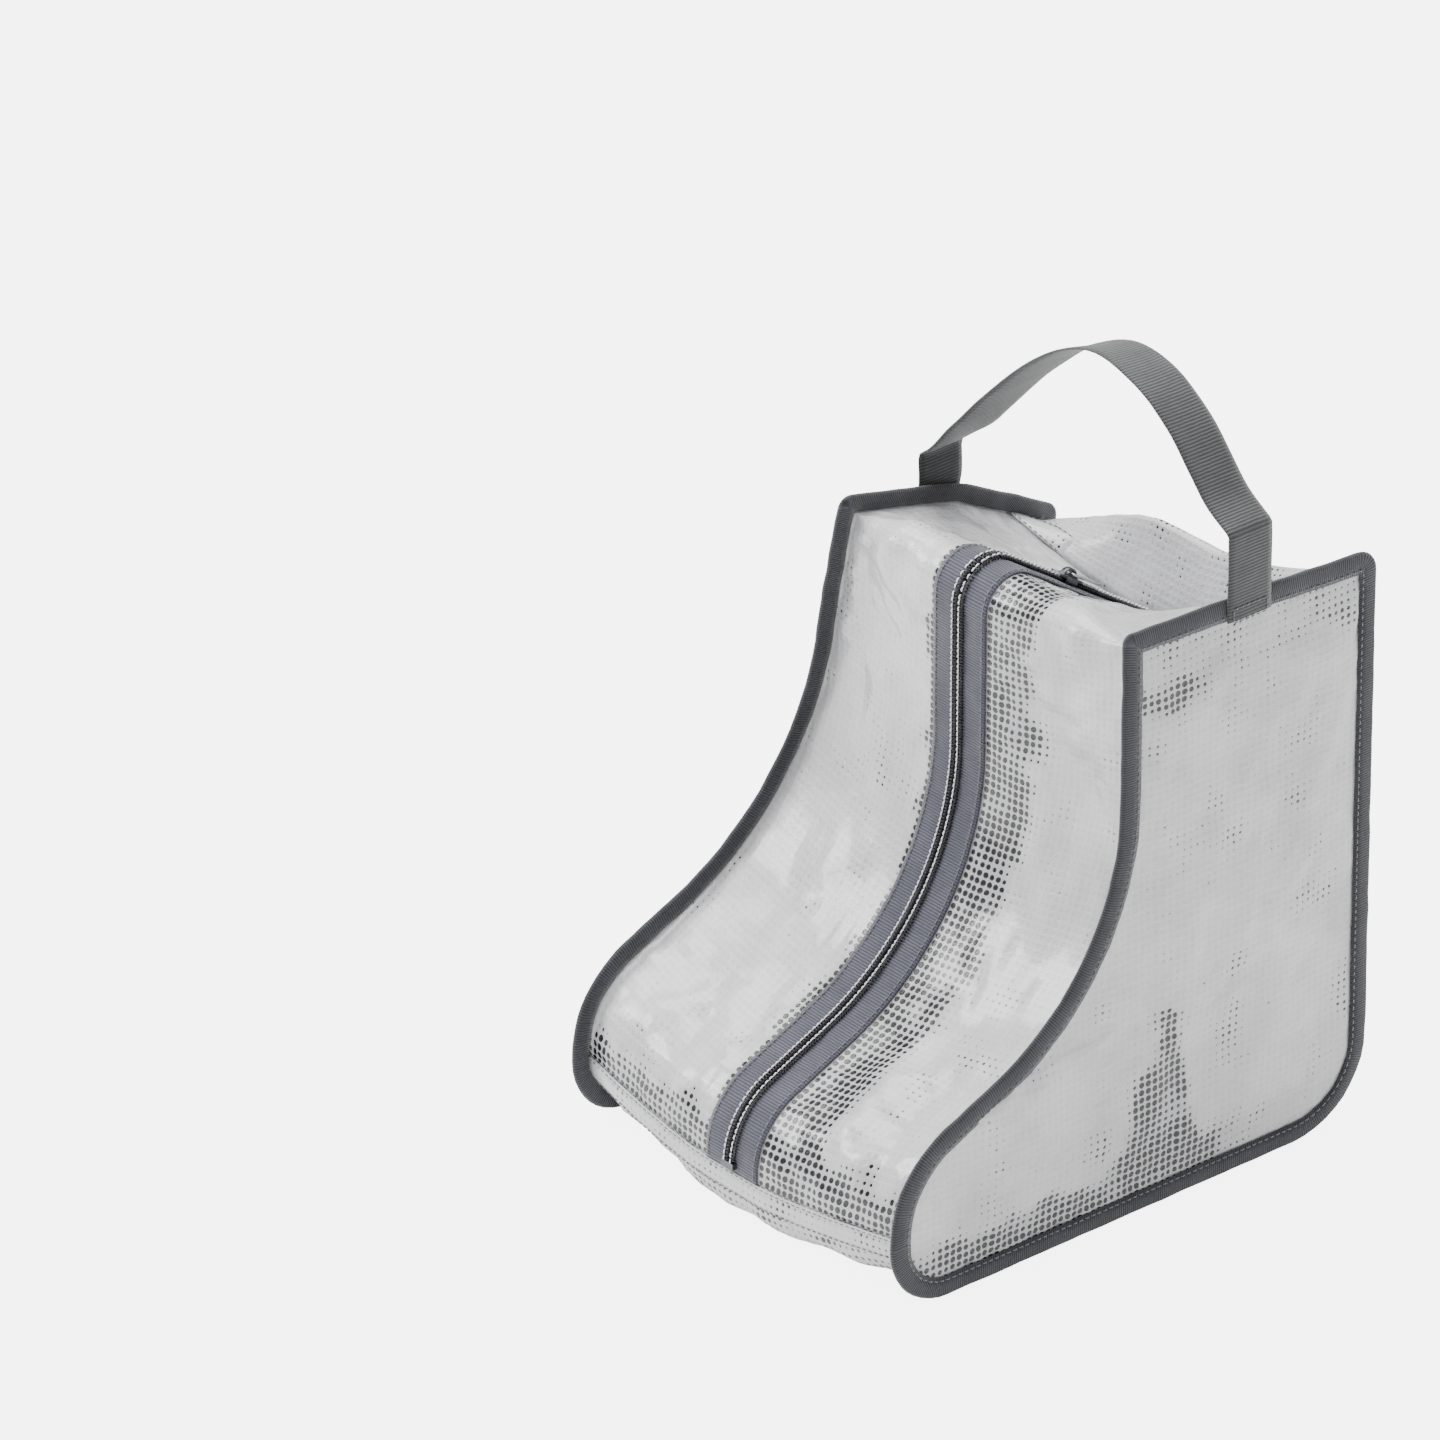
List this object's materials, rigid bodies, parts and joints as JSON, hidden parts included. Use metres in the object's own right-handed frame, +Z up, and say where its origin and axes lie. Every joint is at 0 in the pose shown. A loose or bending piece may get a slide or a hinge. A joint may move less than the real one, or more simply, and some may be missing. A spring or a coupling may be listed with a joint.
{
  "type": "shoe bag",
  "caption": "Boot-shaped zip bag of clear grid-reinforced fabric with bound edges, a front zipper and a webbing carry handle.",
  "frame": {"origin": "middle of the footprint, on the floor", "axes": "+Z up; +X to the bag's right; the toe and the zipper face -Y"},
  "size_m": [0.2381, 0.302, 0.4091],
  "materials": {
    "clear_grid_fabric": "clear glossy film with a white woven grid",
    "binding_tape": "folded grey tape, fine ribbed weave",
    "zipper_tape": "grey woven zipper tape",
    "zipper_coil": "nylon coil, semi-gloss",
    "slider_metal": "enamelled, satin",
    "zipper_stop": "satin",
    "webbing": "flat woven webbing",
    "sewing_thread": "twisted thread"
  },
  "bodies": {
    "bag": {"back_and_bottom_panel": "clear_grid_fabric", "binding_stitching_left": "sewing_thread", "binding_stitching_right": "sewing_thread", "edge_binding_left": "binding_tape", "edge_binding_right": "binding_tape", "front_panel_left": "clear_grid_fabric", "front_panel_right": "clear_grid_fabric", "handle_end_left": "webbing", "handle_end_right": "webbing", "handle_stitching_left": "sewing_thread", "handle_stitching_right": "sewing_thread", "side_panel_left": "clear_grid_fabric", "side_panel_right": "clear_grid_fabric", "tape_stitching_left": "sewing_thread", "tape_stitching_right": "sewing_thread", "toe_seam_hem": "clear_grid_fabric", "top_seam_hem": "clear_grid_fabric", "zipper_bottom_stop": "zipper_stop", "zipper_coil_left": "zipper_coil", "zipper_coil_right": "zipper_coil", "zipper_tape_left": "zipper_tape", "zipper_tape_right": "zipper_tape", "zipper_top_stops": "zipper_stop"},
    "slider": {"zipper_slider": "slider_metal"},
    "pull_tab": {"zipper_pull_tab": "slider_metal"},
    "handle": {"handle_arch": "webbing"}
  },
  "joints": [
    {"name": "zipper_slide", "type": "slide", "parent": "bag", "child": "slider", "axis": [0, 0.8267, -0.5627], "range_m": [-0.038, 0.048]},
    {"name": "pull_tab_hinge", "type": "hinge", "parent": "slider", "child": "pull_tab", "pos_m": [0, 0.06077, 0.27705], "axis": [1, 0, 0], "range_deg": [0, 165]},
    {"name": "handle_swing", "type": "hinge", "parent": "bag", "child": "handle", "pos_m": [-0.0935, 0.063, 0.306], "axis": [0.9819, 0, 0.1894], "range_deg": [-90, 75]}
  ]
}
